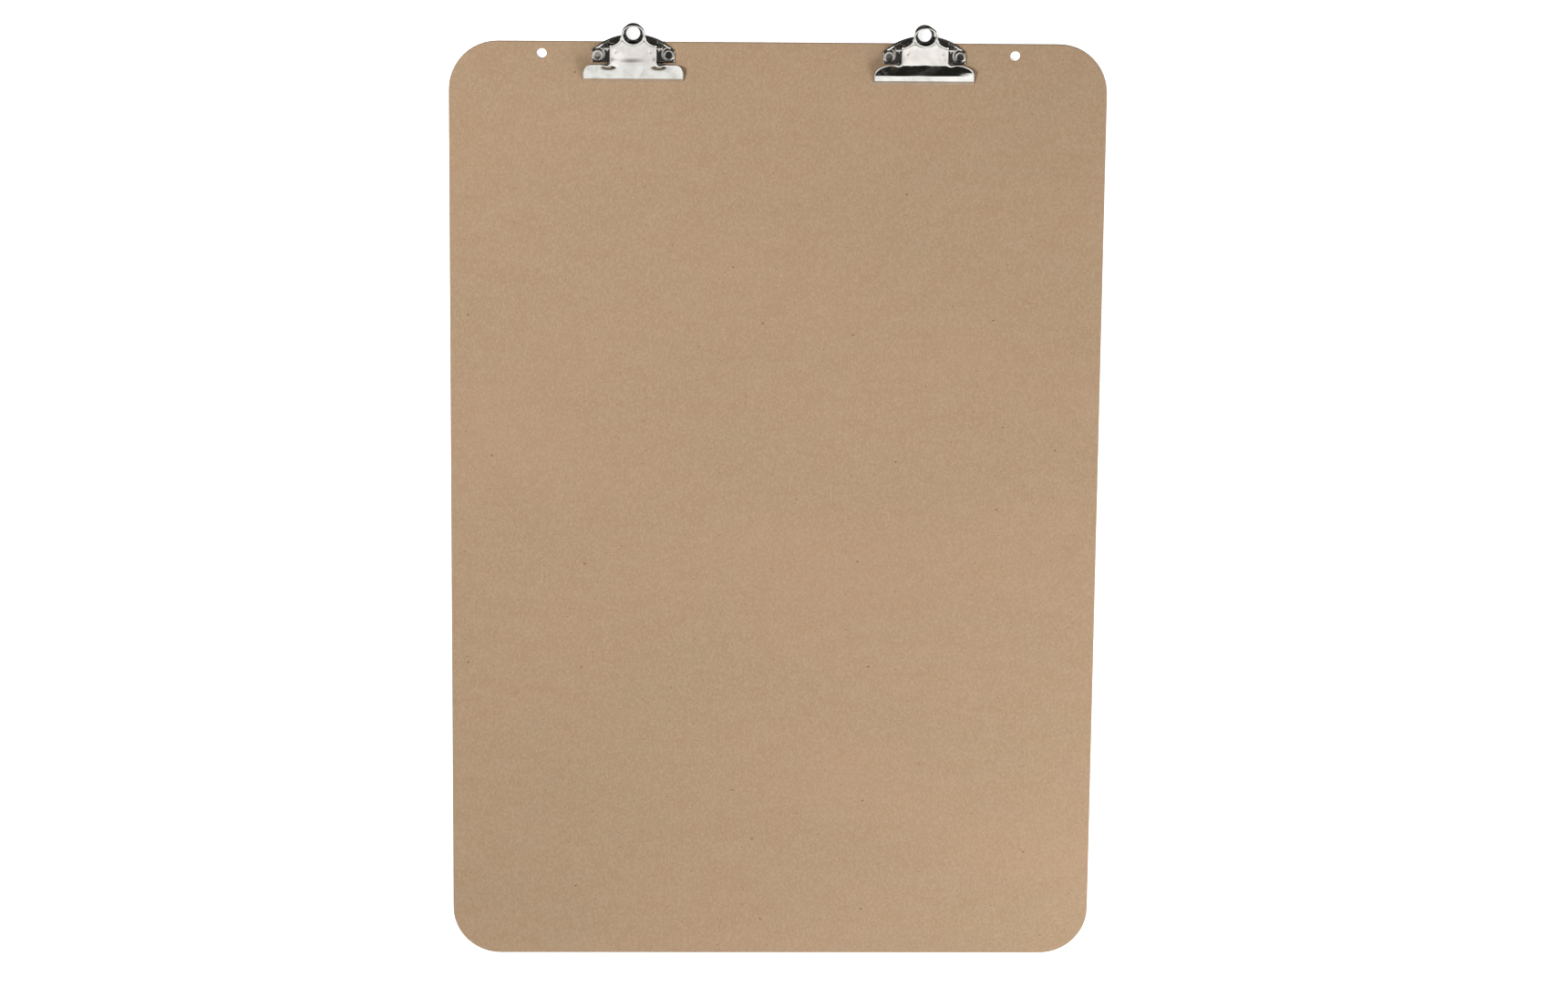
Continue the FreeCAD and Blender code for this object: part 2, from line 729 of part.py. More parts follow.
def check_document(doc, pieces):
    """Stop if any object failed, or a piece is not one valid solid."""
    for item in doc.Objects:
        if "Invalid" in item.State or "Error" in item.State:
            raise RuntimeError(f"{item.Name} is {item.State}")
    for piece in pieces:
        shape = piece.Shape
        if shape.isNull() or not shape.isValid() or len(shape.Solids) != 1:
            raise RuntimeError(f"{piece.Label} is not one valid solid")


def main():
    doc = FreeCAD.newDocument("clipboard")
    s = Sheet(doc)
    pieces = [make_board(doc, s)]
    for name, side in SIDES:
        pieces.extend(make_clip(doc, s, name, side))
    doc.recompute()
    check_document(doc, pieces)
    os.makedirs("parts", exist_ok=True)
    for piece in pieces:
        piece.Shape.exportStep(f"parts/{piece.Label}.step")
        print(f"{piece.Label}: {piece.Shape.Volume:.1f} mm3")


main()
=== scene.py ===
"""Looks of a large hardboard clipboard with two butterfly clips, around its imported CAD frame.

Metres, in the frame's own axes: the board lies on its back, +Z out of the writing face, +Y towards the
clips. Clip parts are drawn in millimetres in the clip's own frame (x from its centre line, y from the
board's top edge, z from the writing face) and moved into place by each clip's base plate.
"""
import math

import bmesh
import bpy
import numpy as np
from mathutils import Matrix, Vector
from mathutils.geometry import delaunay_2d_cdt


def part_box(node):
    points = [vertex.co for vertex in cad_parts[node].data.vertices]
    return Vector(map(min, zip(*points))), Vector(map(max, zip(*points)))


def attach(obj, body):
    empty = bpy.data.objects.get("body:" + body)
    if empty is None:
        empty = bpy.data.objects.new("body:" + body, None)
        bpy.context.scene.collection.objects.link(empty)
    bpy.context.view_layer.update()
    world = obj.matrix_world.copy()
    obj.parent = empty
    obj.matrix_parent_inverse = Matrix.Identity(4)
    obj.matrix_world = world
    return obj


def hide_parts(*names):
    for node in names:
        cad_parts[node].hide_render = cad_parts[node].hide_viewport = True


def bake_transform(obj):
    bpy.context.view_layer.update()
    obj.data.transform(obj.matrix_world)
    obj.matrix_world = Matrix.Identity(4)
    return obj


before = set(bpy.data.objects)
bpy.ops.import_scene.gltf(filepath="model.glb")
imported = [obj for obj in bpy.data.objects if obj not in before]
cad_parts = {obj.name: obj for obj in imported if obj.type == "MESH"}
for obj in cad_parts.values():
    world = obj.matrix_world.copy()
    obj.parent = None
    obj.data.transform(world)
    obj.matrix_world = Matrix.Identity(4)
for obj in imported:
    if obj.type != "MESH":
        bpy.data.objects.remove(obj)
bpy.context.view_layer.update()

MM = 0.001
BOARD_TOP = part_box("board")[1].z
BOARD_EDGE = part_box("board")[1].y
SIDES = {"left": 0, "right": 1}

# Clip sizes in millimetres, close to the CAD's: each jaw is pressed a little differently.
METAL = 1.0
BASE_RISE = 2.4
PIN_Y, PIN_Z = -5.1, 9.5
BEND_Y, BEND_Z = -3.5, 15.5
BODY_SLOPE = {"left": 12.0, "right": 10.6}
FLARE_SLOPE = {"left": 28.0, "right": 30.5}
LEVER_SLOPE = {"left": 24.0, "right": 28.0}
BODY_LENGTH = {"left": 18.6, "right": 16.8}
FLARE_LENGTH = {"left": 16.9, "right": 19.7}
SHOULDER = {"left": (10.0, 10.0), "right": (22.0, 11.5)}
JAW_HALF, BODY_HALF = 50.0, 23.4
RING_CENTRE, RING_OUTER, RING_HOLE = 13.0, 11.8, 10.0
LIP_GAP = 0.15
RIVET_X, RIVET_Y = 35.65, -12.4
RIPPLE_SEED = {"jaw": 11, "base": 31}
# Degrees by which each rivet's head is out of square, along Y and along X.
RIVET_LEAN = {
    ("left", "outer"): (5.0, -1.5),
    ("left", "inner"): (-1.0, 2.0),
    ("right", "outer"): (1.5, 1.0),
    ("right", "inner"): (2.0, -1.5),
}
# Edges over this angle, in degrees, are shaded sharp.
SHARP = 38.0


# Numbers along curves


def smooth(t):
    """Ease from 0 to 1."""
    t = np.clip(t, 0.0, 1.0)
    return t * t * (3.0 - 2.0 * t)


def arc(centre, radius, start, end, step=0.25):
    """Points on an arc between two angles in degrees, both ends included."""
    count = max(3, int(abs(math.radians(end - start)) * radius / step) + 1)
    angles = np.radians(np.linspace(start, end, count))
    return np.stack([centre[0] + radius * np.cos(angles), centre[1] + radius * np.sin(angles)], 1)


def lengths(points):
    """Distance along a line at each of its points."""
    return np.r_[0.0, np.cumsum(np.linalg.norm(np.diff(points, axis=0), axis=1))]


def sampled(points, along, at):
    """Places on a line at given distances along it."""
    return np.stack([np.interp(at, along, points[:, k]) for k in range(points.shape[1])], 1)


def bell(blur, step):
    """How many points a bell curve reaches each way, and its weights."""
    reach = int(3 * blur / step) + 1
    weights = np.exp(-0.5 * (np.arange(-reach, reach + 1) * step / blur) ** 2)
    return reach, weights / weights.sum()


def averaged(padded, weights):
    """A line averaged by weights, which use up its padding."""
    return np.stack([np.convolve(padded[:, k], weights, "valid") for k in range(padded.shape[1])], 1)


def even_loop(points, spacing, blur=0.0):
    """A closed loop resampled at an even spacing, its corners rounded by a blur length."""
    points = np.asarray(points, float)
    closed = np.vstack([points, points[:1]])
    keep = np.r_[True, np.linalg.norm(np.diff(closed, axis=0), axis=1) > 1e-6]
    closed = closed[keep]
    along = lengths(closed)
    fine_spacing = 0.1
    fine = max(16, int(along[-1] / fine_spacing))
    loop = sampled(closed, along, np.arange(fine) * along[-1] / fine)
    if blur > 0.0:
        reach, weights = bell(blur, along[-1] / fine)
        loop = averaged(np.vstack([loop[-reach:], loop, loop[:reach]]), weights)
    closed = np.vstack([loop, loop[:1]])
    along = lengths(closed)
    count = max(12, int(round(along[-1] / spacing)))
    return sampled(closed, along, np.arange(count) * along[-1] / count)


def inward_normals(loop):
    """Unit normals of a closed counterclockwise loop, pointing inside."""
    tangent = np.roll(loop, -1, 0) - np.roll(loop, 1, 0)
    tangent /= np.linalg.norm(tangent, axis=1)[:, None]
    return np.stack([-tangent[:, 1], tangent[:, 0]], 1)


def inside(points, loop):
    """Which points lie in a closed loop."""
    x, y = points[:, 0][:, None], points[:, 1][:, None]
    x0, y0 = loop[:, 0][None], loop[:, 1][None]
    x1, y1 = np.roll(loop, -1, 0)[:, 0][None], np.roll(loop, -1, 0)[:, 1][None]
    crosses = (y0 > y) != (y1 > y)
    with np.errstate(divide="ignore", invalid="ignore"):
        at = x0 + (y - y0) / (y1 - y0) * (x1 - x0)
    return (np.sum(crosses & (x < at), 1) % 2).astype(bool)


def distance_to(points, line):
    """Distance from each point to the nearest of the points of a line."""
    out = np.empty(len(points))
    batch = 2000
    for first in range(0, len(points), batch):
        block = points[first:first + batch]
        out[first:first + batch] = np.sqrt(((block[:, None] - line[None]) ** 2).sum(2)).min(1)
    return out


# Meshes


def new_object(name, verts, faces, material, smooth_angle=SHARP):
    """Mesh object from points in metres, smooth except over sharp edges."""
    mesh = bpy.data.meshes.new(name)
    mesh.from_pydata([tuple(v) for v in np.asarray(verts, float)], [], [tuple(f) for f in faces])
    mesh.validate()
    made = bpy.data.objects.new(name, mesh)
    bpy.context.scene.collection.objects.link(made)
    made.data.materials.append(material)
    soften(made, smooth_angle)
    return made


def soften(made, smooth_angle=SHARP):
    """Shade smooth, with the edges over an angle kept sharp."""
    for polygon in made.data.polygons:
        polygon.use_smooth = True
    made.data.set_sharp_from_angle(angle=math.radians(smooth_angle))


def settle(made):
    """Turn an object's modifiers into its own mesh."""
    graph = bpy.context.evaluated_depsgraph_get()
    mesh = bpy.data.meshes.new_from_object(made.evaluated_get(graph))
    made.modifiers.clear()
    made.data = mesh
    soften(made)
    return made


def ease_edges(made, width, segments, angle):
    """Round the edges that are sharper than an angle in degrees, by a width in millimetres."""
    eased = made.modifiers.new("eased_edges", "BEVEL")
    eased.width = width * MM
    eased.segments = segments
    eased.limit_method = "ANGLE"
    eased.angle_limit = math.radians(angle)


def rim_rings(loop, inward, roll, radius, wall):
    """Rings of a turned-down edge, from the flat part outwards: flat places and drops below the sheet."""
    arc_steps, wall_steps = 5, 3
    roll, radius, wall = (np.broadcast_to(v, (len(loop),)).astype(float) for v in (roll, radius, wall))
    depth = radius * np.sin(roll) + wall * np.cos(roll)
    rings = []
    for k in range(arc_steps + 1):
        turn = roll * k / arc_steps
        rings.append((depth - radius * np.sin(turn), -radius * (1 - np.cos(turn))))
    for k in range(1, wall_steps + 1):
        t = k / wall_steps
        rings.append((wall * np.cos(roll) * (1 - t), -radius * (1 - np.cos(roll)) - wall * np.sin(roll) * t))
    return [(loop + inward * inset[:, None], drop) for inset, drop in rings]


def pressed_sheet(name, outline, rim, holes, rise, place, material, spacing=0.8, folds=()):
    """Sheet metal pressed from a flat outline: turned-down rims, holes with rolled edges, raised work.

    rim gives roll, radius and wall for the outline, and each hole is (loop, roll, radius, wall). rise
    gives the height of the pressed work at flat places. place turns flat places and heights into
    points in metres. folds are the flat places of sharp folds across the sheet.
    """
    rims = [rim_rings(outline, inward_normals(outline), *rim)]
    rims += [rim_rings(loop, -inward_normals(loop), *shape) for loop, *shape in holes]
    flat, base, drops, faces, borders, total = [], [], [], [], [], 0
    for rings in rims:
        count = len(rings[0][0])
        borders.append(np.arange(total, total + count))
        for step, (places, drop) in enumerate(rings):
            for i in range(count if step else 0):
                j = (i + 1) % count
                quad = (total - count + i, total + i, total + j, total - count + j)
                faces.append(quad if rings is rims[0] else quad[::-1])
            flat.append(places)
            base.append(rings[0][0])
            drops.append(drop)
            total += count
    flat, base, drops = np.vstack(flat), np.vstack(base), np.concatenate(drops)
    edges = [flat[border] for border in borders]
    low, high = outline.min(0), outline.max(0)
    row_spacing, clear_of_fold, clear_of_rim = spacing * 0.866, spacing * 0.7, spacing * 0.45
    rows = np.arange(low[1], high[1], row_spacing)
    # Close rows keep a fold sharp. They line up with each other, and the other rows are staggered.
    beside_fold = np.array([-0.2, -0.03, 0.03, 0.2])
    for fold in folds:
        rows = np.sort(np.r_[rows[np.abs(rows - fold) > clear_of_fold], fold + beside_fold])
    columns = np.arange(low[0], high[0], spacing)
    shifts = np.arange(len(rows)) % 2 * spacing / 2
    for fold in folds:
        shifts[np.abs(rows - fold) < 0.25] = 0.0
    grid = np.array([(x + shift, row) for shift, row in zip(shifts, rows) for x in columns])

    def in_sheet(points):
        found = inside(points, edges[0])
        for loop in edges[1:]:
            found &= ~inside(points, loop)
        return found

    border = np.vstack(edges)
    grid = grid[in_sheet(grid)]
    grid = grid[distance_to(grid, border) > clear_of_rim]
    links, first = [], 0
    for loop in edges:
        links.extend((first + i, first + (i + 1) % len(loop)) for i in range(len(loop)))
        first += len(loop)
    points = [Vector(p) for p in np.vstack([border, grid])]
    verts, _, triangles, sources, _, _ = delaunay_2d_cdt(points, links, [], 0, 1e-6)
    verts = np.array([tuple(v) for v in verts])
    triangles = np.array([t for t in triangles if len(t) == 3])
    triangles = triangles[in_sheet(verts[triangles].mean(1))]
    # A border point is the first ring's own vertex; the rest are new.
    border_index = np.concatenate(borders)
    fresh, index = [], []
    for n, source in enumerate(sources):
        if source and min(source) < len(border):
            index.append(int(border_index[min(source)]))
        else:
            index.append(total + len(fresh))
            fresh.append(verts[n])
    a, b, c = (verts[triangles[:, k]] for k in range(3))
    turns = (b[:, 0] - a[:, 0]) * (c[:, 1] - a[:, 1]) - (b[:, 1] - a[:, 1]) * (c[:, 0] - a[:, 0])
    for triangle, turn in zip(triangles, turns):
        faces.append(tuple(index[n] for n in (triangle if turn > 0 else triangle[::-1])))
    fresh = np.array(fresh).reshape(-1, 2)
    heights = rise(np.vstack([base, fresh]))
    heights[:total] += drops
    made = new_object(name, place(np.vstack([flat, fresh]), heights), faces, material)
    thick = made.modifiers.new("thickness", "SOLIDIFY")
    thick.thickness = METAL * MM
    thick.offset = -1.0
    thick.use_quality_normals = True
    ease_edges(made, 0.18, 2, 55.0)
    return settle(made)


def lathe(profile, segments=56):
    """Points and faces of a profile (radius, height) turned about Z. A radius of 0 closes the shape."""
    verts, faces, rows = [], [], []
    for radius, height in profile:
        if radius < 1e-6:
            rows.append([len(verts)] * segments)
            verts.append((0.0, 0.0, height))
            continue
        rows.append(list(range(len(verts), len(verts) + segments)))
        for k in range(segments):
            angle = 2 * math.pi * k / segments
            verts.append((radius * math.cos(angle), radius * math.sin(angle), height))
    for low, high in zip(rows, rows[1:]):
        for k in range(segments):
            j = (k + 1) % segments
            corners = [low[k], low[j], high[j], high[k]]
            face = [c for n, c in enumerate(corners) if c not in corners[:n]]
            if len(face) > 2:
                faces.append(face)
    return np.array(verts), faces


def rounded_profile(points, blur, step=0.06):
    """An open profile with its corners softened, both ends held."""
    points = np.asarray(points, float)
    along = lengths(points)
    line = sampled(points, along, np.linspace(0.0, along[-1], int(along[-1] / step) + 2))
    reach, weights = bell(blur, step)
    before = 2 * line[0] - line[1:reach + 1][::-1]
    after = 2 * line[-1] - line[-reach - 1:-1][::-1]
    soft = averaged(np.vstack([before, line, after]), weights)
    soft[0], soft[-1] = line[0], line[-1]
    # Long straight stretches need few points.
    least_bend, longest = 0.10, 1.2
    keep = [0]
    for n in range(1, len(soft) - 1):
        ahead = soft[n + 1] - soft[n]
        behind = soft[n] - soft[keep[-1]]
        cross = abs(ahead[0] * behind[1] - ahead[1] * behind[0])
        bend = cross / max(np.linalg.norm(ahead) * np.linalg.norm(behind), 1e-12)
        if bend > least_bend or np.linalg.norm(behind) > longest:
            keep.append(n)
    keep.append(len(soft) - 1)
    return soft[keep]


def swept_tube(path, radius):
    """Points and faces of a round wire along a path, with rounded ends."""
    segments = 14
    path = np.asarray(path, float)
    tangents = np.gradient(path, axis=0)
    tangents /= np.linalg.norm(tangents, axis=1)[:, None]
    side = np.cross(tangents[0], (0.3, 0.5, 0.8))
    side /= np.linalg.norm(side)
    verts, faces, rows = [], [], []
    # Shifts along the wire and sizes of the rings of an end, both in wire radii.
    caps = ((-0.95, 0.30), (-0.70, 0.71), (-0.35, 0.94))
    stations = [(0, shift, scale) for shift, scale in caps]
    stations += [(n, 0.0, 1.0) for n in range(len(path))]
    stations += [(len(path) - 1, -shift, scale) for shift, scale in reversed(caps)]
    for n, shift, scale in stations:
        side = side - tangents[n] * side.dot(tangents[n])
        side /= np.linalg.norm(side)
        other = np.cross(tangents[n], side)
        middle = path[n] + tangents[n] * shift * radius
        rows.append(len(verts))
        for k in range(segments):
            angle = 2 * math.pi * k / segments
            verts.append(middle + scale * radius * (math.cos(angle) * side + math.sin(angle) * other))
    for low, high in zip(rows, rows[1:]):
        for k in range(segments):
            j = (k + 1) % segments
            faces.append((low + k, low + j, high + j, high + k))
    faces.append(tuple(reversed(range(rows[0], rows[0] + segments))))
    faces.append(tuple(range(rows[-1], rows[-1] + segments)))
    return np.array(verts), faces


def closed_object(name, verts, faces, material, smooth_angle=SHARP):
    """Mesh object of closed shells, with their faces turned outwards."""
    made = new_object(name, verts, faces, material, smooth_angle)
    work = bmesh.new()
    work.from_mesh(made.data)
    bmesh.ops.recalc_face_normals(work, faces=work.faces)
    work.to_mesh(made.data)
    work.free()
    soften(made, smooth_angle)
    return made


def join(target, parts):
    """Bring other objects' meshes into the target's, and remove those objects."""
    work = bmesh.new()
    work.from_mesh(target.data)
    for part in parts:
        work.from_mesh(part.data)
        bpy.data.objects.remove(part)
    work.to_mesh(target.data)
    work.free()
    soften(target)


# Materials


class Surface:
    """A material's node tree, with short words for the nodes that the finishes share."""

    def __init__(self, name):
        self.material = bpy.data.materials.new(name)
        self.material.use_nodes = True
        self.tree = self.material.node_tree
        self.shader = next(n for n in self.tree.nodes if n.type == "BSDF_PRINCIPLED")
        self.place = self.node("ShaderNodeTexCoord").outputs["Object"]

    def node(self, kind, inputs=None, **settings):
        """A node with its settings made and its inputs fed."""
        made = self.tree.nodes.new(kind)
        for name, value in settings.items():
            setattr(made, name, value)
        for name, value in (inputs or {}).items():
            self.feed(made.inputs[name], value)
        return made

    def feed(self, socket, value):
        """Link an output into a socket, or set the socket's own value."""
        if isinstance(value, bpy.types.NodeSocket):
            self.tree.links.new(value, socket)
        else:
            socket.default_value = value

    def stretched(self, scale):
        """Places in metres, multiplied along each axis."""
        return self.node("ShaderNodeMapping", {"Vector": self.place, "Scale": scale}).outputs[0]

    def noise(self, scale, detail=4.0, roughness=0.55, distortion=0.0, place=None):
        made = self.node("ShaderNodeTexNoise", {
            "Vector": place or self.place, "Scale": scale, "Detail": detail,
            "Roughness": roughness, "Distortion": distortion})
        return made.outputs[0]

    def ramp(self, value, low, high, start=0.0, end=1.0):
        """The value's range low to high, spread over start to end with eased ends."""
        made = self.node("ShaderNodeMapRange", {
            "Value": value, "From Min": low, "From Max": high, "To Min": start, "To Max": end})
        made.interpolation_type = "SMOOTHSTEP"
        return made.outputs[0]

    def math(self, operation, a, b=0.0):
        return self.node("ShaderNodeMath", {0: a, 1: b}, operation=operation).outputs[0]

    def mix(self, factor, a, b):
        """Colour a at factor 0, colour b at factor 1."""
        made = self.node("ShaderNodeMix", data_type="RGBA")
        self.feed(made.inputs[0], factor)
        self.feed(made.inputs[6], a)
        self.feed(made.inputs[7], b)
        return made.outputs[2]

    def bump(self, height, strength, distance, normal=None):
        """A normal bent by a height over a distance in metres, on top of another one if given."""
        made = self.node("ShaderNodeBump", {"Height": height, "Strength": strength, "Distance": distance})
        if normal is not None:
            self.feed(made.inputs["Normal"], normal)
        return made.outputs[0]

    def set(self, **inputs):
        """Feed the shader's inputs and return the finished material."""
        for name, value in inputs.items():
            self.feed(self.shader.inputs[name.replace("_", " ")], value)
        return self.material


def linear(red, green, blue):
    """A colour in 0 to 255 as the shader's own light values."""
    return tuple(((c / 255 + 0.055) / 1.055) ** 2.4 for c in (red, green, blue)) + (1.0,)


def hardboard():
    """Tempered hardboard: pressed fibres, soft mottling, a few dark specks, darker sawn edges."""
    s = Surface("hardboard")
    cloud = s.noise(1.0, 4.0, 0.55, 0.0, s.stretched((3.0, 7.0, 5.0)))
    patches = s.noise(1.0, 6.0, 0.66, 0.1, s.stretched((26.0, 60.0, 40.0)))
    base = s.mix(s.ramp(cloud, 0.3, 0.7), linear(144, 123, 98), linear(150, 125, 101))
    base = s.mix(s.ramp(patches, 0.35, 0.68, 0.0, 0.45), base, linear(144, 116, 91))
    felt = s.noise(1.0, 7.0, 0.72, 0.25, s.stretched((520.0, 360.0, 300.0)))
    base = s.mix(s.ramp(felt, 0.42, 0.64, 0.0, 0.62), base, linear(163, 141, 116))
    # Fibres lie every way: two sets of thin streaks, each kept sparse.
    for scale, colour, amount in (
        ((1500.0, 190.0, 400.0), linear(116, 92, 68), 0.50),
        ((210.0, 1300.0, 400.0), linear(196, 172, 144), 0.42),
    ):
        streak = s.noise(1.0, 2.0, 0.5, 2.5, s.stretched(scale))
        gate = s.ramp(s.noise(150.0, 2.0), 0.52, 0.68)
        streak = s.math("MULTIPLY", s.ramp(streak, 0.64, 0.74), gate)
        base = s.mix(s.math("MULTIPLY", streak, amount), base, colour)
    # Specks of bark, one in some of the cells: cells a metre, radius in cells, share of cells without.
    for scale, size, share in ((10.0, 0.012, 0.50), (55.0, 0.036, 0.80), (140.0, 0.055, 0.85)):
        cells = s.node("ShaderNodeTexVoronoi", {
            "Vector": s.stretched((0.7, 1.3, 1.0)), "Scale": scale, "Randomness": 1.0},
            voronoi_dimensions="2D")
        spot = s.ramp(cells.outputs["Distance"], size * 0.5, size, 1.0, 0.0)
        chosen = s.math("GREATER_THAN", s.node("ShaderNodeSeparateColor", {
            0: cells.outputs["Color"]}).outputs[0], share)
        base = s.mix(s.math("MULTIPLY", s.math("MULTIPLY", spot, chosen), 0.8), base, linear(80, 60, 43))
    # Sawn edges are darker and furry, in layers.
    normal = s.node("ShaderNodeSeparateXYZ", {0: s.node("ShaderNodeNewGeometry").outputs["Normal"]})
    upright = s.math("SUBTRACT", 1.0, s.math("ABSOLUTE", normal.outputs[2]))
    edge = s.ramp(upright, 0.04, 0.7)
    layers = s.noise(1.0, 5.0, 0.7, 0.4, s.stretched((160.0, 160.0, 1900.0)))
    edge_colour = s.mix(s.ramp(layers, 0.3, 0.7), linear(92, 70, 49), linear(138, 112, 84))
    base = s.mix(s.math("MULTIPLY", edge, 0.85), base, edge_colour)
    # The back carries the faint print of the press's wire screen.
    back = s.ramp(normal.outputs[2], -0.9, -0.6, 1.0, 0.0)
    mesh = [s.node("ShaderNodeTexWave", {
        "Vector": s.place, "Scale": 160.0, "Distortion": 0.4, "Detail": 1.0},
        wave_type="BANDS", bands_direction=way).outputs["Fac"] for way in "XY"]
    screen = s.math("MULTIPLY", s.math("MULTIPLY", mesh[0], mesh[1]), back)
    base = s.mix(s.math("MULTIPLY", screen, 0.35), base, linear(128, 103, 77))
    rough = s.math("ADD", s.ramp(felt, 0.3, 0.7, 0.46, 0.58), s.math("MULTIPLY", edge, 0.3))
    grain = s.bump(s.noise(900.0, 6.0, 0.65), 0.22, 0.00012)
    grain = s.bump(felt, 0.30, 0.00025, grain)
    grain = s.bump(s.math("MULTIPLY", layers, edge), 0.7, 0.0004, grain)
    grain = s.bump(screen, 0.6, 0.0003, grain)
    return s.set(Base_Color=base, Roughness=rough, Normal=grain, Specular_IOR_Level=0.35)


def plated(name, bright, dull, smear, scratch, ripple):
    """Bright plating on pressed steel: smears, hair scratches and a faint ripple from the press."""
    s = Surface(name)
    film = s.noise(55.0, 6.0, 0.6, 0.8)
    fine = s.noise(700.0, 3.0, 0.6)
    hairs = [s.ramp(s.noise(1.0, 2.0, 0.5, 1.5, s.stretched(scale)), 0.66, 0.74)
             for scale in ((4200.0, 260.0, 1500.0), (320.0, 3900.0, 1500.0))]
    hair = s.math("MAXIMUM", *hairs)
    base = s.mix(s.ramp(film, 0.35, 0.75), bright, dull)
    base = s.mix(s.math("MULTIPLY", hair, 0.18), base, dull)
    rough = s.math("ADD", s.ramp(film, 0.38, 0.78, 0.035, 0.035 + smear), s.math("MULTIPLY", hair, scratch))
    rough = s.math("ADD", rough, s.ramp(fine, 0.55, 0.8, 0.0, 0.03))
    wave = s.bump(s.noise(130.0, 2.0, 0.4), ripple, 0.0004)
    wave = s.bump(fine, 0.05, 0.00005, wave)
    wave = s.bump(hair, 0.03, 0.00003, wave)
    return s.set(Base_Color=base, Metallic=1.0, Roughness=rough, Normal=wave)


def drawn_wire():
    """Spring wire: dark oiled steel with fine draw lines and worn bright spots."""
    s = Surface("spring_wire")
    lines = s.noise(1.0, 3.0, 0.6, 0.3, s.stretched((600.0, 5200.0, 5200.0)))
    worn = s.ramp(s.noise(420.0, 5.0, 0.6), 0.45, 0.7)
    base = s.mix(worn, linear(118, 114, 108), linear(176, 173, 168))
    rough = s.math("ADD", s.ramp(lines, 0.3, 0.7, 0.16, 0.30), s.math("MULTIPLY", worn, 0.06))
    return s.set(Base_Color=base, Metallic=1.0, Roughness=rough, Normal=s.bump(lines, 0.15, 0.00004))


def brushed_washer():
    """Zinc-plated washer: turned rings, dull patches, a bluish cast."""
    s = Surface("steel_burr")
    patch = s.noise(380.0, 5.0, 0.6, 0.5)
    grain = s.noise(1.0, 3.0, 0.7, 0.2, s.stretched((900.0, 6500.0, 900.0)))
    base = s.mix(s.ramp(patch, 0.35, 0.7), linear(186, 190, 196), linear(142, 143, 146))
    rough = s.math("ADD", s.ramp(grain, 0.3, 0.7, 0.28, 0.42), s.ramp(patch, 0.4, 0.8, 0.0, 0.15))
    return s.set(Base_Color=base, Metallic=1.0, Roughness=rough, Normal=s.bump(grain, 0.2, 0.00004))


# The clips' pieces


def clip_origin(side):
    """A clip's own origin in the frame, in metres: its centre line, the board's top edge and face."""
    low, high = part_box(f"{side}_base_plate")
    return np.array([(low.x + high.x) / 2, BOARD_EDGE, BOARD_TOP])


def mirrored_path(half):
    """The right half of an outline, listed upwards, with its left half, listed downwards."""
    half = np.asarray(half, float)
    return np.vstack([half, (half * (-1, 1))[::-1]])


def circle(centre, radius, spacing):
    """A closed circle of evenly spaced points."""
    return even_loop(arc(centre, radius, 0, 360)[:-1], spacing)


def ripples(x, y, seed):
    """Faint unevenness of pressed sheet, in millimetres."""
    draw = np.random.default_rng(seed)
    waves, steepest, height = 7, 0.28, 0.016
    out = np.zeros(len(x))
    for _ in range(waves):
        wave = draw.uniform(-steepest, steepest, 2)
        out += height * np.sin(wave[0] * x + wave[1] * y + draw.uniform(0, 6.28))
    return out


def jaw_line(side):
    """Side line of the jaw's top face: along, y, z and slope, with where the fold, crease and bend are."""
    flare, lever = FLARE_SLOPE[side], LEVER_SLOPE[side]
    bend = 60.0
    crease = bend - BODY_LENGTH[side]
    fold = crease - FLARE_LENGTH[side]
    # The left-hand lip is bent down; the right-hand one has a flatter strip before its lip.
    knots = {
        "left": ((fold - 0.05, 44.0), (fold + 0.05, flare), (crease - 3.0, flare)),
        "right": ((fold - 0.05, 35.0), (fold + 0.05, 20.5), (fold + 4.6, 20.5), (fold + 5.6, flare),
                  (crease - 1.2, flare)),
    }[side]
    soft = {"left": 2.6, "right": 1.2}[side]
    body = BODY_SLOPE[side]
    knots += ((crease + soft, body), (bend - 2.2, body), (bend + 2.2, lever))
    step = 0.05
    along = np.arange(0.0, bend + 30.0, step)
    slope = np.radians(np.interp(along, *np.transpose(knots)))
    y = np.r_[0.0, np.cumsum(np.cos(slope[:-1]) * step)]
    z = np.r_[0.0, np.cumsum(np.sin(slope[:-1]) * step)]
    at = int(round(bend / step))
    return along, y - y[at] + BEND_Y, z - z[at] + BEND_Z, slope, fold, crease, bend


def ear_depth(ahead):
    """How far the jaw's side wall reaches down at a distance ahead of the bend (negative is forwards)."""
    pin_at, pin_deep, reach = -2.81, 5.54, 4.3
    front, touch = (-16.0, 1.5), (-5.4, 8.97)
    line = np.interp(ahead, (front[0], touch[0]), (front[1], touch[1]))
    bow = pin_deep + np.sqrt(np.clip(reach ** 2 - (ahead - pin_at) ** 2, 0.0, None))
    return np.where(ahead < touch[0], line, bow)


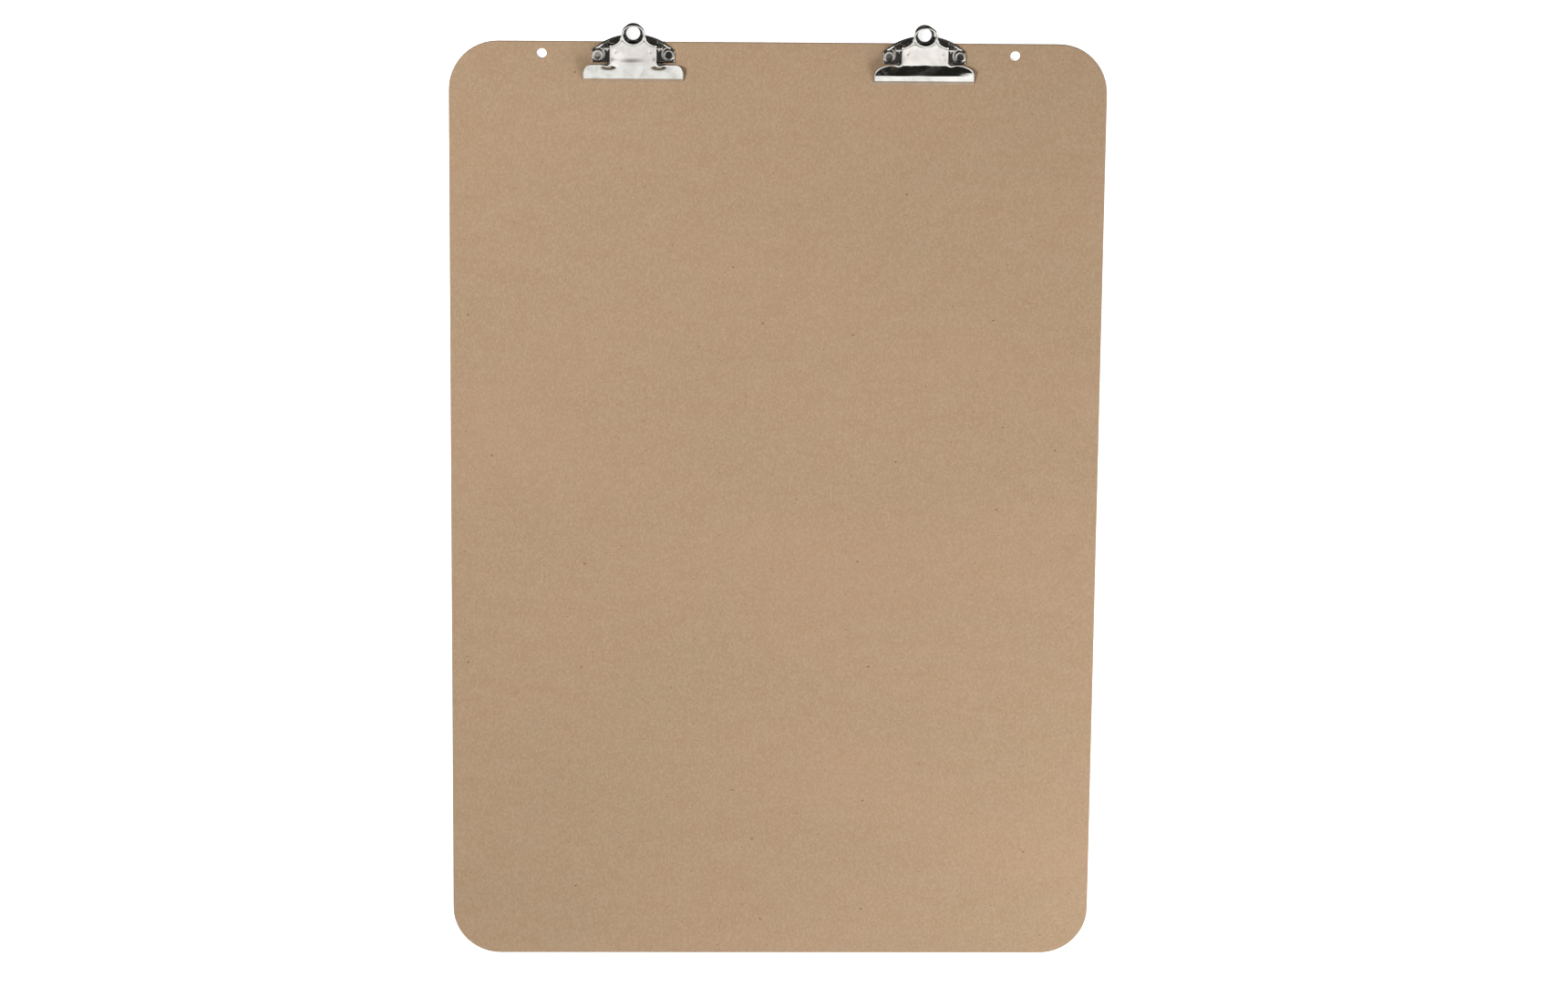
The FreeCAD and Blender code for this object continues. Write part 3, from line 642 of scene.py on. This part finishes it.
def make_jaw(side, chrome):
    """Pressed jaw plate: flared lip, body, side walls with the ears, and the ringed lever."""
    along, line_y, line_z, slope, fold, crease, bend = jaw_line(side)
    origin = clip_origin(side)
    lip_slope, waist = 45.0, 3.0
    start = np.interp(LIP_GAP + METAL * math.cos(math.radians(lip_slope)), line_z, along)
    ring = np.array([0.0, bend + RING_CENTRE])
    end_wide, end_high = SHOULDER[side]
    end_high /= math.cos(math.radians(FLARE_SLOPE[side]))
    half = np.vstack([
        [(JAW_HALF, start)],
        arc((0, 0), 1.0, 0, 90, 0.02) * (end_wide, end_high) + (JAW_HALF - end_wide, crease - end_high),
        arc((BODY_HALF + waist, crease + waist), waist, 270, 180),
        arc((BODY_HALF, ring[1]), BODY_HALF - RING_OUTER, 270, 180),
        arc(ring, RING_OUTER, 0, 90),
    ])
    outline = even_loop(mirrored_path(half), 0.36, 0.42)
    # The edge turns down a little along the lip, more round its ends, and square from the notch on.
    x, u = np.abs(outline[:, 0]), outline[:, 1]
    lip_roll, end_roll, side_roll = 10.0, 34.0, 90.0
    ends = end_roll * smooth((u - start - 0.6) / 4.0)
    notch = side_roll * smooth((36.0 - x) / 9.0) * smooth((u - crease + 6.0) / 3.0)
    roll = np.radians(np.maximum(np.maximum(ends, notch), lip_roll))
    near_notch = np.exp(-((x - 25.5) ** 2 + (u - crease - 1.0) ** 2) / 16.0)
    radius = 1.1 + 1.7 * near_notch
    at_side = smooth((x - BODY_HALF + 1.0) / 0.8) * smooth((u - crease - 1.5) / 1.5)
    lever_rim = 2.6
    depth = at_side * ear_depth(u - bend) + (1 - at_side) * lever_rim
    wall = np.where(u > crease + 0.5, np.maximum(depth - radius, 0.4), 0.35 + 0.5 * near_notch)
    lever_line = outline[u > bend + 0.6]
    # Heights and depths of the pressed work, which is shallower or deeper from clip to clip.
    wave, dimple = {"left": (0.15, 0.29), "right": (1.0, 0.13)}[side]
    swell_height, dent_depth, twist = {"left": (0.85, 1.02, 0.0), "right": (0.2, 0.1, 0.25)}[side]

    def rise(flat):
        fx, fu = flat[:, 0], flat[:, 1]
        # The lever's middle is sunk inside a raised border.
        border, sink = 1.9, 0.4
        rim = distance_to(flat, lever_line)
        hole = np.hypot(fx, fu - ring[1]) - RING_HOLE
        sunk = smooth((np.minimum(rim, hole) - border) / 0.8) * smooth((fu - bend + 15.0) / 15.0)
        out = -sink * sunk
        for hand in (-1, 1):
            ahead, aside = fu - bend + 5.0, (fx - hand * 17.4) * hand
            dent = np.hypot((ahead + aside) / 2.0, (ahead - aside) / 3.0)
            out -= dimple * np.exp(-(dent ** 2))
            # The side wall runs out into the flare as a soft swelling.
            swell = ((fx - hand * 24.8) / 4.6) ** 2 + ((fu - crease - 1.2) / 3.3) ** 2
            out += swell_height * np.exp(-swell / 2)
        out -= dent_depth * np.exp(-(((fx + 1.5) / 17.0) ** 2) - ((fu - crease - 8.0) / 6.9) ** 2)
        # The right-hand flare is a little flatter at its outer end.
        out -= twist * smooth((fx - 24.0) / 24.0) * smooth((fu - fold - 3.0) / 9.0)
        return out + ripples(fx, fu, RIPPLE_SEED["jaw"] + SIDES[side])

    def place(flat, height):
        fu = flat[:, 1]
        # The crease wanders a little from a straight line.
        wave_length, reach = 27.4, 5.0
        wander = wave * np.cos(2 * np.pi * flat[:, 0] / wave_length)
        wander = wander * np.exp(-(((fu - crease) / reach) ** 2))
        at = fu - wander
        tilt = np.interp(at, along, slope)
        y = np.interp(at, along, line_y) + np.cos(tilt) * wander - np.sin(tilt) * height
        z = np.interp(at, along, line_z) + np.sin(tilt) * wander + np.cos(tilt) * height
        return origin + MM * np.stack([flat[:, 0], y, z], 1)

    hole = (circle(ring, RING_HOLE, 0.4), math.radians(88.0), 0.65, 0.5)
    name = f"{side}_jaw"
    made = pressed_sheet(name, outline, (roll, radius, wall), [hole], rise, place, chrome, 0.62, [fold])
    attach(made, f"{side}_jaw")
    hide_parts(f"{side}_jaw_plate")


def lug_object(name, near, thickness, origin, material):
    """One upright lug: a plate with a round top about the pin, its foot in the sheet."""
    half, foot = 4.0, 1.9
    outline = np.vstack([
        [(PIN_Y - half, foot), (PIN_Y + half, foot)],
        arc((PIN_Y, PIN_Z), half, 0, 180, 0.5),
    ])
    work = bmesh.new()
    ring = [work.verts.new(origin + MM * np.array([near, y, z])) for y, z in outline]
    face = work.faces.new(ring)
    grown = bmesh.ops.extrude_face_region(work, geom=[face])
    moved = [item for item in grown["geom"] if isinstance(item, bmesh.types.BMVert)]
    bmesh.ops.translate(work, verts=moved, vec=(thickness * MM, 0, 0))
    bmesh.ops.recalc_face_normals(work, faces=work.faces)
    mesh = bpy.data.meshes.new(name)
    work.to_mesh(mesh)
    work.free()
    made = bpy.data.objects.new(name, mesh)
    bpy.context.scene.collection.objects.link(made)
    mesh.materials.append(material)
    ease_edges(made, 0.3, 3, 50.0)
    return settle(made)


def make_base(side, chrome):
    """Pressed base plate: turned-down rims, beaded shoulders, ringed tail, coined rivet seats, lugs."""
    origin = clip_origin(side)
    shoulder, drop, tail_y, tail, tail_hole = 62.5, 54.6, 8.7, 10.3, 6.6
    side_x, bottom = 41.5, -20.8
    # The shoulders' arc meets the tail's circle at a height above the arc's centre.
    apart = tail_y + drop
    cross = (apart ** 2 + shoulder ** 2 - tail ** 2) / (2 * apart)
    start = math.degrees(math.asin(math.sqrt(shoulder ** 2 - side_x ** 2) / shoulder))
    meet = math.degrees(math.asin(cross / shoulder))
    neck = math.degrees(math.atan2(cross - apart, math.sqrt(shoulder ** 2 - cross ** 2)))
    half = np.vstack([
        [(side_x, bottom)],
        arc((0, -drop), shoulder, start, meet),
        arc((0, tail_y), tail, neck, 90),
    ])
    outline = even_loop(mirrored_path(half), 0.45, 0.8)
    upper = outline[outline[:, 1] > -8.5]

    def rise(flat):
        fx, fy = flat[:, 0], flat[:, 1]
        groove, coined, coined_radius = 0.42, 0.28, 6.35
        rim = distance_to(flat, upper)
        beaded = smooth((fy + 13.0) / 5.0) * smooth((5.5 - fy) / 3.0)
        out = -groove * beaded * smooth((rim - 2.0) / 0.6) * (1 - smooth((rim - 3.4) / 0.7))
        for hand in (-1, 1):
            seat = np.hypot(fx - hand * RIVET_X, fy - RIVET_Y)
            out -= coined * np.exp(-(((seat - coined_radius) / 0.5) ** 2))
        return out + 1.2 * ripples(fx, fy, RIPPLE_SEED["base"] + SIDES[side])

    def place(flat, height):
        return origin + MM * np.stack([flat[:, 0], flat[:, 1], BASE_RISE + height], 1)

    holes = [(circle((0, tail_y), tail_hole, 0.4), math.radians(88.0), 0.6, 0.5)]
    # Each lug is bent up out of a window in the sheet.
    lug_half = 4
    for hand in (-1, 1):
        near, far = sorted((15.0 * hand, 24.9 * hand))
        low, high = PIN_Y - lug_half, PIN_Y + lug_half
        window = [(near, low), (far, low), (far, high), (near, high)]
        holes.append((even_loop(window, 0.45, 0.3), math.radians(24.0), 0.5, 0.15))
    rim = (math.radians(89.0), 1.1, 1.25)
    made = pressed_sheet(f"{side}_base", outline, rim, holes, rise, place, chrome, 0.75)
    lug_inside, lug_thick = 25.0, 1.2
    lugs = [lug_object(f"{side}_lug", near, lug_thick, origin, chrome)
            for near in (lug_inside, -lug_inside - lug_thick)]
    join(made, lugs)
    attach(made, "root")
    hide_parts(f"{side}_base_plate")


def make_pin(side, metal):
    """Hinge pin: a round shank with a domed head outside each lug, dimpled where it was staked."""
    origin = clip_origin(side) + MM * np.array([0, PIN_Y, PIN_Z])
    shank, tip, thin, wide = 26.2, 29.6, 2.0, 2.7
    half = [(thin, 0.0), (thin, shank), (wide, shank), (wide, tip - 1.1), (wide - 0.45, tip - 0.35),
            (1.5, tip), (0.9, tip), (0.6, tip - 0.45), (0.0, tip - 0.5)]
    top = rounded_profile(half, 0.13)
    profile = np.vstack([(top * (1, -1))[::-1], top[1:]])
    verts, faces = lathe(profile, 48)
    verts = origin + MM * verts[:, [2, 0, 1]]
    made = closed_object(f"{side}_pin", verts, faces, metal)
    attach(made, "root")
    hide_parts(f"{side}_hinge_pin")


def make_rivet(side, word, metal):
    """Tubular rivet: round head with a shallow dish, shank, and a tail rolled out over its burr."""
    low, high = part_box(f"{side}_rivet_{word}")
    origin = np.array([(low.x + high.x) / 2, (low.y + high.y) / 2, BOARD_TOP])
    head = [(0.0, 3.34), (2.6, 3.33), (3.7, 3.36), (4.0, 3.56), (4.4, 3.6), (4.95, 3.46), (5.4, 3.05),
            (5.5, 2.7), (5.42, 2.42), (2.0, 2.42), (2.0, -4.3), (3.2, -4.32), (3.42, -4.42), (3.35, -4.62),
            (3.0, -4.7), (1.75, -4.68), (1.3, -4.45), (1.1, -4.0), (1.1, -1.1), (0.0, -1.0)]
    verts, faces = lathe(rounded_profile(head, 0.07, 0.05), 56)
    # The rolled tail splits a little as it opens, at six places.
    tail_from, tail_radius = -4.2, 2.2
    apart, split_depth, split_width = math.pi / 3, 0.11, 0.09
    around = np.arctan2(verts[:, 1], verts[:, 0])
    spread = smooth((np.hypot(verts[:, 0], verts[:, 1]) - tail_radius) / 1.0) * (verts[:, 2] < tail_from)
    split = 1 - split_depth * spread * np.exp(-((np.mod(around, apart) - apart / 2) / split_width) ** 2)
    verts[:, :2] *= split[:, None]
    # No two heads are set quite square. The lean starts just above the base plate.
    lean, clear = RIVET_LEAN[side, word], 0.3
    above = np.clip(verts[:, 2:] - BASE_RISE, 0.0, None) > clear
    verts[:, 2:] += above * np.sin(np.radians(lean[0])) * verts[:, 1:2]
    verts[:, 2:] += above * np.sin(np.radians(lean[1])) * verts[:, :1]
    made = closed_object(f"{side}_{word}_rivet", origin + MM * verts, faces, metal)
    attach(made, "root")
    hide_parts(f"{side}_rivet_{word}")


def make_burr(side, word, metal):
    """Washer under the rivet's tail: flat, punched, with one edge rounded by the punch."""
    low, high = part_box(f"{side}_burr_{word}")
    origin = np.array([(low.x + high.x) / 2, (low.y + high.y) / 2, (low.z + high.z) / 2])
    thick = (high.z - low.z) / MM / 2
    loop = [(2.02, thick), (5.97, thick), (6.0, thick - 0.1), (6.0, -thick + 0.28), (5.9, -thick + 0.1),
            (5.7, -thick), (2.3, -thick), (2.05, -thick + 0.2), (2.02, thick)]
    verts, faces = lathe(loop, 56)
    # The profile's last point is its first one again, so the two rows are merged.
    made = closed_object(f"{side}_{word}_burr", origin + MM * verts, faces, metal)
    work = bmesh.new()
    work.from_mesh(made.data)
    bmesh.ops.remove_doubles(work, verts=work.verts, dist=1e-6)
    bmesh.ops.recalc_face_normals(work, faces=work.faces)
    work.to_mesh(made.data)
    work.free()
    soften(made)
    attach(made, "root")
    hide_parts(f"{side}_burr_{word}")


def make_spring(side, metal):
    """Double torsion spring, in two halves that meet under the lever: base leg, turns, lever leg, bridge."""
    origin = clip_origin(side) + MM * np.array([0, PIN_Y, PIN_Z])
    coil, wire, outer, inner, turns_a_side = 3.3, 0.8, 15.3, 6.3, 6
    base_tip, lever_tip = (7.6, -6.3), (3.6, 4.7)
    leave = math.degrees(math.atan2(base_tip[1], base_tip[0]) - math.acos(coil / math.hypot(*base_tip)))
    reach = math.degrees(math.atan2(lever_tip[1], lever_tip[0]) + math.acos(coil / math.hypot(*lever_tip)))
    turned = leave - (reach - 360.0 * turns_a_side)
    turn_points, leg_points, arm_points, bridge_points, passes = 420, 30, 14, 18, 10
    for word, hand in (("a", -1), ("b", 1)):
        t = np.linspace(0.0, 1.0, turn_points)
        angle = np.radians(leave - turned * t)
        turns = np.stack([outer - (outer - inner) * t, coil * np.cos(angle), coil * np.sin(angle)], 1)
        leg = np.linspace((outer, *base_tip), turns[0], leg_points)[:-1]
        arm = np.linspace(turns[-1], (inner, *lever_tip), arm_points)[1:]
        bridge = np.linspace((inner, *lever_tip), (0.0, *lever_tip), bridge_points)[1:]
        path = np.vstack([leg, turns, arm, bridge])
        # Averaging rounds the bends beyond the turns.
        bend = len(leg) + len(turns)
        for _ in range(passes):
            path[bend:-1] = 0.25 * path[bend - 1:-2] + 0.5 * path[bend:-1] + 0.25 * path[bend + 1:]
        verts, faces = swept_tube(path * (hand, 1, 1), wire)
        made = closed_object(f"{side}_spring_{word}", origin + MM * verts, faces, metal, 60.0)
        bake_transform(made)
        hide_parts(f"{side}_torsion_spring")


def smooth_cad(node):
    """Shade a CAD node smooth across its rounded edges, with a modifier and no change to its mesh."""
    sharp_angle = 30.0
    tree = bpy.data.node_groups.new(f"{node.name}_shading", "GeometryNodeTree")
    for way in ("INPUT", "OUTPUT"):
        tree.interface.new_socket("Geometry", in_out=way, socket_type="NodeSocketGeometry")
    start, end = tree.nodes.new("NodeGroupInput"), tree.nodes.new("NodeGroupOutput")
    weld = tree.nodes.new("GeometryNodeMergeByDistance")
    weld.inputs["Distance"].default_value = 1e-6
    angle = tree.nodes.new("GeometryNodeInputMeshEdgeAngle")
    sharp = tree.nodes.new("FunctionNodeCompare")
    sharp.operation = "LESS_THAN"
    sharp.inputs["B"].default_value = math.radians(sharp_angle)
    faces = tree.nodes.new("GeometryNodeSetShadeSmooth")
    edges = tree.nodes.new("GeometryNodeSetShadeSmooth")
    edges.domain = "EDGE"
    tree.links.new(start.outputs[0], weld.inputs["Geometry"])
    tree.links.new(weld.outputs[0], faces.inputs["Geometry"])
    tree.links.new(faces.outputs[0], edges.inputs["Geometry"])
    tree.links.new(angle.outputs["Unsigned Angle"], sharp.inputs["A"])
    tree.links.new(sharp.outputs[0], edges.inputs["Shade Smooth"])
    tree.links.new(edges.outputs[0], end.inputs[0])
    node.modifiers.new("shading", "NODES").node_group = tree


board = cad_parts["board"]
board.data.materials.clear()
board.data.materials.append(hardboard())
smooth_cad(board)

chrome = plated("chrome_plate", (0.86, 0.865, 0.87, 1), (0.70, 0.70, 0.69, 1), 0.10, 0.10, 0.10)
pin_metal = plated("plated_pin", (0.80, 0.80, 0.79, 1), (0.62, 0.61, 0.59, 1), 0.14, 0.12, 0.06)
nickel = plated("nickel_rivet", (0.72, 0.71, 0.69, 1), (0.58, 0.57, 0.54, 1), 0.16, 0.14, 0.08)
wire_steel = drawn_wire()
burr_steel = brushed_washer()
for side in SIDES:
    make_base(side, chrome)
    make_jaw(side, chrome)
    make_pin(side, pin_metal)
    make_spring(side, wire_steel)
    for word in ("outer", "inner"):
        make_rivet(side, word, nickel)
        make_burr(side, word, burr_steel)


# Stage: floor, studio light and camera


def floor_surface():
    """Pale, matt studio floor."""
    s = Surface("studio_floor")
    tone = s.ramp(s.noise(3.0, 3.0), 0.3, 0.7)
    base = s.mix(tone, (0.53, 0.53, 0.53, 1), (0.57, 0.57, 0.57, 1))
    return s.set(Base_Color=base, Roughness=0.9, Specular_IOR_Level=0.1,
                 Emission_Color=(1, 1, 1, 1), Emission_Strength=0.84)


def studio_sky():
    """Studio seen by light and reflections, as levels by height of view.

    In front and at the sides, from the floor up: pale sweep, dark wall, softbox, dark ceiling. The wall in
    front is brown towards the left and nearly black towards the right. Behind, all is dark. The camera
    itself sees a plain pale backdrop.
    """
    world = bpy.data.worlds.new("studio")
    bpy.context.scene.world = world
    world.use_nodes = True
    tree = world.node_tree
    tree.nodes.clear()

    def node(kind, *links):
        made = tree.nodes.new(kind)
        for socket, value in links:
            if isinstance(value, bpy.types.NodeSocket):
                tree.links.new(value, made.inputs[socket])
            else:
                made.inputs[socket].default_value = value
        return made

    def levels(value, stops):
        """Colours by the height of view, each stop at an angle above the horizon in degrees."""
        made = node("ShaderNodeValToRGB", (0, value))
        ramp = made.color_ramp
        while len(ramp.elements) < len(stops):
            ramp.elements.new(0.5)
        for element, (degrees, colour) in zip(ramp.elements, stops):
            element.position = math.sin(math.radians(degrees))
            element.color = (*colour, 1)
        return made.outputs[0]

    def ranged(value, low, high, start, end):
        """The value's range low to high, spread over start to end."""
        return node("ShaderNodeMapRange", (0, value), (1, low), (2, high), (3, start), (4, end)).outputs[0]

    split = node("ShaderNodeSeparateXYZ", (0, node("ShaderNodeTexCoord").outputs["Generated"]))
    across, along, up = split.outputs
    boxes = ((27, (0.95, 0.94, 0.89)), (34, (0.95, 0.94, 0.90)), (58, (0.89, 0.84, 0.79)),
             (68, (0.87, 0.82, 0.77)), (80, (0.035, 0.035, 0.032)))
    sweep = ((0, (0.95, 0.95, 0.95)), (8.6, (1.0, 1.0, 1.0)), (10, (0.40, 0.32, 0.24)))
    front_left = levels(up, sweep + ((15, (0.24, 0.18, 0.12)), (22.5, (0.13, 0.10, 0.065))) + boxes)
    front_right = levels(up, sweep + (
        (16.5, (0.38, 0.31, 0.23)), (18.5, (0.012, 0.012, 0.010)), (25, (0.012, 0.012, 0.010))) + boxes)
    sides = levels(up, (
        (0, (0.90, 0.90, 0.89)), (6.5, (1.0, 1.0, 1.0)), (8.6, (0.05, 0.045, 0.04)),
        (18, (0.03, 0.03, 0.025)), (24, (0.72, 0.71, 0.69)), (68, (0.72, 0.71, 0.69)),
        (80, (0.035, 0.035, 0.032))))
    behind = levels(up, (
        (0, (0.02, 0.02, 0.018)), (2, (0.02, 0.02, 0.018)), (5, (0.16, 0.14, 0.12)),
        (22, (0.10, 0.09, 0.08)), (34, (0.025, 0.025, 0.02)), (60, (0.025, 0.025, 0.02))))
    righter = ranged(across, 0.0, 0.04, 0.0, 1.0)
    ahead = ranged(along, -0.05, -0.25, 0.0, 1.0)

    def blended(factor, first, second):
        made = node("ShaderNodeMix")
        made.data_type = "RGBA"
        for socket, value in ((0, factor), (6, first), (7, second)):
            tree.links.new(value, made.inputs[socket])
        return made.outputs[2]

    front = blended(righter, front_left, front_right)
    astern = ranged(along, 0.03, 0.15, 0.0, 1.0)
    studio_light = blended(ahead, blended(astern, sides, behind), front)
    rays = node("ShaderNodeLightPath")
    right_gain, board_share = 1.25, 0.12
    gain = ranged(across, 0.01, 0.08, 1.0, right_gain)
    # The panels are close to the clips, so they light the board less than a whole sky would.
    spread = ranged(rays.outputs["Is Diffuse Ray"], 0.0, 1.0, 1.0, board_share)
    level = node("ShaderNodeMath", (0, gain), (1, spread))
    level.operation = "MULTIPLY"
    studio = node("ShaderNodeBackground", (0, studio_light), (1, level.outputs[0]))
    seen = node("ShaderNodeBackground", (0, (0.97, 0.97, 0.97, 1)))
    pick = node("ShaderNodeMixShader", (0, rays.outputs["Is Camera Ray"]), (1, studio.outputs[0]),
                (2, seen.outputs[0]))
    node("ShaderNodeOutputWorld", (0, pick.outputs[0]))


def softbox(name, place, target, size, power):
    """Square soft light that faces a target, in metres and watts."""
    light = bpy.data.lights.new(name, "AREA")
    light.shape = "RECTANGLE"
    light.size = light.size_y = size
    light.energy = power
    made = bpy.data.objects.new(name, light)
    bpy.context.scene.collection.objects.link(made)
    made.location = place
    made.rotation_euler = (Vector(target) - Vector(place)).to_track_quat("-Z", "Y").to_euler()
    made.visible_camera = False
    # The metal reflects the studio's panels; the lights' own images would be hard sparks in it.
    made.visible_glossy = False


floor_half, floor_height = 14.0, -0.0003
corners = [(x * floor_half, y * floor_half, floor_height) for x, y in ((-1, -1), (1, -1), (1, 1), (-1, 1))]
floor_mesh = bpy.data.meshes.new("floor")
floor_mesh.from_pydata(corners, [], [(0, 1, 2, 3)])
floor = bpy.data.objects.new("floor", floor_mesh)
bpy.context.scene.collection.objects.link(floor)
floor_mesh.materials.append(floor_surface())
# The floor is left out of reflections, which show the studio alone.
floor.visible_glossy = False
studio_sky()

softbox("left_key", (-1.1, 0.75, 1.8), (-0.1, 0.1, 0), 0.26, 46.0)
softbox("right_fill", (1.4, -1.05, 1.15), (0.25, -0.35, 0), 1.8, 63.0)

# The camera is high above the board, past its clips' end, and tilted back towards its middle.
lens = bpy.data.cameras.new("camera")
lens.sensor_width = 36.0
lens.lens = 100.72
lens.clip_end = 60.0
camera = bpy.data.objects.new("camera", lens)
bpy.context.scene.collection.objects.link(camera)
camera.location = (-0.119, 0.927, 4.384 + BOARD_TOP)
turn = [math.radians(a) for a in (-11.7565, -1.6425, 0.22)]
camera.rotation_mode = "QUATERNION"
camera.rotation_quaternion = (
    Matrix.Rotation(turn[0], 3, "X") @ Matrix.Rotation(turn[1], 3, "Y") @ Matrix.Rotation(turn[2], 3, "Z")
).to_quaternion()
bpy.context.scene.camera = camera
bpy.context.scene.view_settings.view_transform = "Standard"
